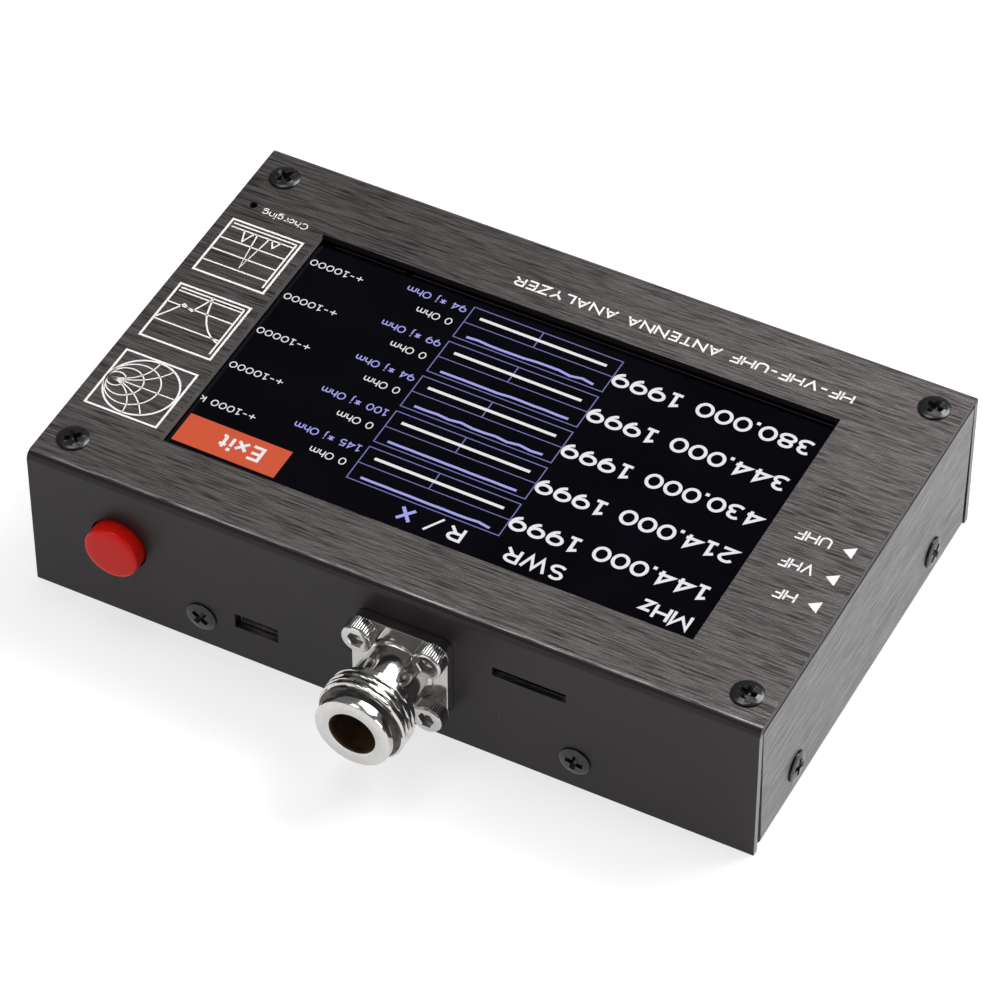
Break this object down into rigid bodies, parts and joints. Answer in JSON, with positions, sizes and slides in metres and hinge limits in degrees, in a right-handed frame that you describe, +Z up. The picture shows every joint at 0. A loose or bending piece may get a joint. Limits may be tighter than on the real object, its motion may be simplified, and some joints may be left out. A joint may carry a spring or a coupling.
{
  "type": "antenna analyzer",
  "caption": "Handheld antenna analyzer: flat bent-metal case with a large touch screen on top, a flanged coaxial socket, a round push button and small charging and card slots in one wall.",
  "frame": {"origin": "centre of the case's flat underside, on the face it rests on", "axes": "+X along the connector wall, to the right when the connector faces the viewer; -Y out of the connector wall; +Z up, out of the screen"},
  "size_m": [0.1344, 0.1029, 0.0303],
  "materials": {
    "cover_paint": "satin",
    "side_paint": "brushed dark grey",
    "black_steel": "black oxide",
    "nickel": "polished nickel plate",
    "bright_steel": "zinc-plated steel",
    "red_plastic": "gloss",
    "glass_black": "gloss",
    "panel": "matte",
    "board_green": "satin",
    "black_plastic": "matte",
    "white_plastic": "matte",
    "foam": "matte",
    "aluminium": "satin",
    "brass": "satin",
    "gold": "polished",
    "tin": "tinned",
    "ptfe": "satin",
    "copper_lead": "satin",
    "ribbon": "satin",
    "cell_wrap": "satin",
    "led_lens": "gloss"
  },
  "bodies": {
    "case": {"top_cover": "cover_paint", "bottom_cover": "side_paint", "battery_tray": "aluminium", "top_screws": "black_steel", "cover_screws": "black_steel", "board_standoffs": "brass", "board_screws": "bright_steel", "main_board": "board_green", "main_chips": "black_plastic", "shield_can": "tin", "card_socket": "tin", "charge_led": "led_lens", "display_glass": "glass_black", "display_panel": "panel", "display_tape": "foam", "display_pads": "foam", "display_ribbon": "ribbon", "ribbon_socket": "white_plastic", "connector_body": "nickel", "connector_insulator": "ptfe", "connector_contact": "gold", "connector_screws": "bright_steel", "connector_nuts": "bright_steel", "signal_lead": "copper_lead", "switch_spring": "bright_steel", "switch_body": "black_plastic", "switch_pins": "tin", "charger_board": "board_green", "charger_spacers": "white_plastic", "charger_screws": "bright_steel", "charger_chips": "black_plastic", "usb_socket": "tin", "battery_cell": "cell_wrap", "battery_pads": "foam", "battery_plug": "white_plastic", "battery_leads": "copper_lead", "supply_leads": "copper_lead"},
    "button": {"button_cap": "red_plastic", "switch_plunger": "black_plastic"}
  },
  "joints": [
    {"name": "button_press", "type": "slide", "parent": "case", "child": "button", "axis": [0, 1, 0], "range_m": [0, 0.0022], "stiffness_N_per_m": 900, "springref_m": -0.0012, "deforming": ["switch_spring"]}
  ]
}
